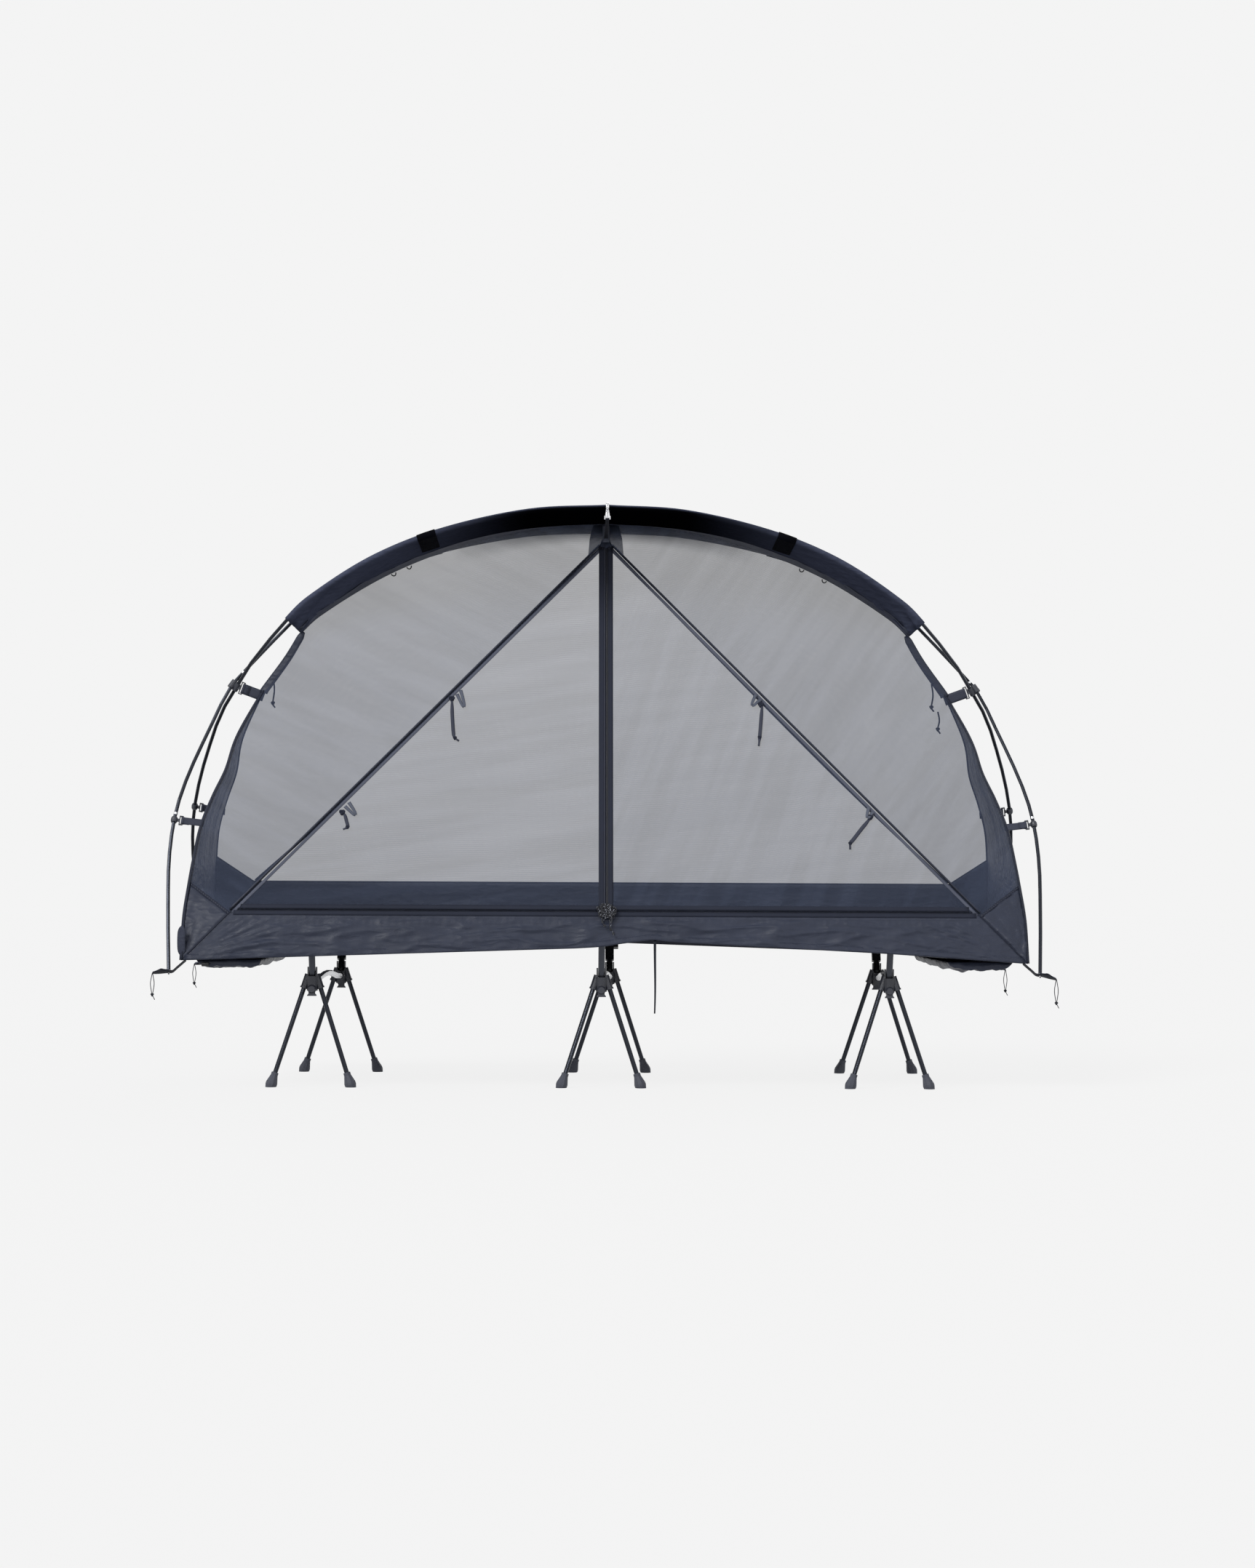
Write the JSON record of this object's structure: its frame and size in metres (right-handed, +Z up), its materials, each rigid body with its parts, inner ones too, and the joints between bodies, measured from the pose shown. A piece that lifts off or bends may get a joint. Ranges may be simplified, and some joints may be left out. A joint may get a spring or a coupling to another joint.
{
  "type": "tent cot",
  "caption": "One-person mesh tent with a dark ridge panel, pitched on two crossing arch poles over a raised camp cot with splayed legs, moulded hubs and tension levers.",
  "frame": {"origin": "on the floor, under the middle of the cot", "axes": "+X along the cot, +Z up; -Y is the side with the door"},
  "size_m": [2.3066, 0.8354, 1.5385],
  "materials": {
    "anodised_tube": "dark anodised aluminium tube",
    "bare_tube": "bright satin tube",
    "moulded_black": "moulded, slightly grained",
    "rubber_foot": "matt moulded rubber",
    "bed_cloth": "tight woven polyester",
    "ridge_cloth": "dark coated nylon",
    "tent_cloth": "coated nylon tub below, mesh above",
    "mesh_cloth": "fine knitted mesh",
    "bright_steel": "polished wire",
    "zip_slider": "black enamel with a cord pull",
    "black_tape": "narrow webbing"
  },
  "bodies": {
    "frame_and_tent": {"cot_sheet": "bed_cloth", "cross_bar_left": "bare_tube", "cross_bar_middle": "bare_tube", "cross_bar_right": "bare_tube", "crossing_clip_left": "moulded_black", "crossing_clip_right": "moulded_black", "foot_left_front_left": "rubber_foot", "foot_left_front_right": "rubber_foot", "foot_left_rear_left": "rubber_foot", "foot_left_rear_right": "rubber_foot", "foot_middle_front_left": "rubber_foot", "foot_middle_front_right": "rubber_foot", "foot_middle_rear_left": "rubber_foot", "foot_middle_rear_right": "rubber_foot", "foot_right_front_left": "rubber_foot", "foot_right_front_right": "rubber_foot", "foot_right_rear_left": "rubber_foot", "foot_right_rear_right": "rubber_foot", "hanging_tape": "black_tape", "hub_left_front": "moulded_black", "hub_left_rear": "moulded_black", "hub_middle_front": "moulded_black", "hub_middle_rear": "moulded_black", "hub_right_front": "moulded_black", "hub_right_rear": "moulded_black", "leg_left_front_left": "anodised_tube", "leg_left_front_right": "anodised_tube", "leg_left_rear_left": "anodised_tube", "leg_left_rear_right": "anodised_tube", "leg_middle_front_left": "anodised_tube", "leg_middle_front_right": "anodised_tube", "leg_middle_rear_left": "anodised_tube", "leg_middle_rear_right": "anodised_tube", "leg_right_front_left": "anodised_tube", "leg_right_front_right": "anodised_tube", "leg_right_rear_left": "anodised_tube", "leg_right_rear_right": "anodised_tube", "peak_hook": "bright_steel", "pole_front_footed": "anodised_tube", "pole_rear_footed": "anodised_tube", "ridge_panel": "ridge_cloth", "ring_clip_left_front": "moulded_black", "ring_clip_left_rear": "moulded_black", "ring_clip_right_front": "moulded_black", "ring_clip_right_rear": "moulded_black", "side_rail_front": "anodised_tube", "side_rail_rear": "anodised_tube", "tent_body": "tent_cloth"},
    "lever_left_front": {"lever_left_front": "anodised_tube"},
    "lever_left_rear": {"lever_left_rear": "moulded_black"},
    "lever_middle_front": {"lever_middle_front": "anodised_tube"},
    "lever_middle_rear": {"lever_middle_rear": "moulded_black"},
    "lever_right_front": {"lever_right_front": "anodised_tube"},
    "lever_right_rear": {"lever_right_rear": "moulded_black"},
    "slider_left": {"slider_left": "zip_slider"},
    "slider_right": {"slider_right": "zip_slider"},
    "slider_vertical": {"slider_vertical": "zip_slider"},
    "door_left": {"door_left": "mesh_cloth"},
    "door_right": {"door_right": "mesh_cloth"}
  },
  "joints": [
    {"name": "lever_left_front_swing", "type": "hinge", "parent": "frame_and_tent", "child": "lever_left_front", "pos_m": [-0.7645, -0.285, 0.29], "axis": [-1, 0, 0], "range_deg": [0, 60]},
    {"name": "lever_left_rear_swing", "type": "hinge", "parent": "frame_and_tent", "child": "lever_left_rear", "pos_m": [-0.7335, 0.285, 0.29], "axis": [1, 0, 0], "range_deg": [0, 60]},
    {"name": "lever_middle_front_swing", "type": "hinge", "parent": "frame_and_tent", "child": "lever_middle_front", "pos_m": [-0.01, -0.285, 0.29], "axis": [-1, 0, 0], "range_deg": [0, 60]},
    {"name": "lever_middle_rear_swing", "type": "hinge", "parent": "frame_and_tent", "child": "lever_middle_rear", "pos_m": [0.021, 0.285, 0.29], "axis": [1, 0, 0], "range_deg": [0, 60]},
    {"name": "lever_right_front_swing", "type": "hinge", "parent": "frame_and_tent", "child": "lever_right_front", "pos_m": [0.7445, -0.285, 0.29], "axis": [-1, 0, 0], "range_deg": [0, 60]},
    {"name": "lever_right_rear_swing", "type": "hinge", "parent": "frame_and_tent", "child": "lever_right_rear", "pos_m": [0.7755, 0.285, 0.29], "axis": [1, 0, 0], "range_deg": [0, 60]},
    {"name": "door_left_swing", "type": "hinge", "parent": "frame_and_tent", "child": "door_left", "pos_m": [-0.4923, -0.18219, 0.95403], "axis": [-0.6759, -0.2278, -0.7009], "range_deg": [0, 100]},
    {"name": "door_right_swing", "type": "hinge", "parent": "frame_and_tent", "child": "door_right", "pos_m": [0.4923, -0.18219, 0.95403], "axis": [-0.6759, 0.2278, 0.7009], "range_deg": [0, 100]},
    {"name": "slider_vertical_run", "type": "slide", "parent": "door_right", "child": "slider_vertical", "axis": [0, 0.3091, 0.951], "range_m": [0, 0.95]},
    {"name": "slider_left_run", "type": "slide", "parent": "frame_and_tent", "child": "slider_left", "axis": [-1, 0, 0], "range_m": [0, 0.92]},
    {"name": "slider_right_run", "type": "slide", "parent": "frame_and_tent", "child": "slider_right", "axis": [1, 0, 0], "range_m": [0, 0.92]}
  ]
}
